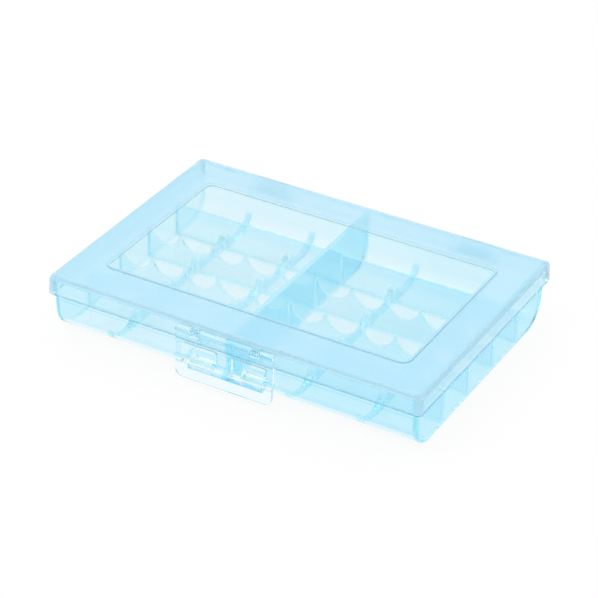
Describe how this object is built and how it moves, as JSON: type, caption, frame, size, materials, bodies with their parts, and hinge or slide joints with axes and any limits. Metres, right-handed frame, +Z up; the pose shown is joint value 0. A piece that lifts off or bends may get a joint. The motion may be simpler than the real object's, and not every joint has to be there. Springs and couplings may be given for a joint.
{
  "type": "battery storage case",
  "caption": "Flat translucent case with a hinged lid and a clear snap latch; scalloped troughs in the tray hold AA cells lengthwise or AAA cells crosswise.",
  "frame": {"origin": "middle of the tray's flat underside, which the case rests on", "axes": "+X along the case to the right seen from the latch, +Y from the latch side to the hinge side, +Z up"},
  "size_m": [0.1176, 0.0887, 0.0195],
  "materials": {
    "blue_plastic": "translucent sky-blue polypropylene, polished inside and out",
    "lid_plastic": "translucent sky-blue polypropylene, finely frosted frame round a polished window",
    "clear_plastic": "colourless clear plastic, polished"
  },
  "bodies": {
    "tray": {"base_tray": "blue_plastic"},
    "lid": {"lid": "lid_plastic"},
    "latch": {"latch": "clear_plastic"}
  },
  "joints": [
    {"name": "lid_hinge", "type": "hinge", "parent": "tray", "child": "lid", "pos_m": [0, 0.04337, 0.013], "axis": [-1, 0, 0], "range_deg": [0, 180]},
    {"name": "latch_pivot", "type": "hinge", "parent": "lid", "child": "latch", "pos_m": [0, -0.04218, 0.0173], "axis": [-1, 0, 0], "range_deg": [0, 110]}
  ]
}
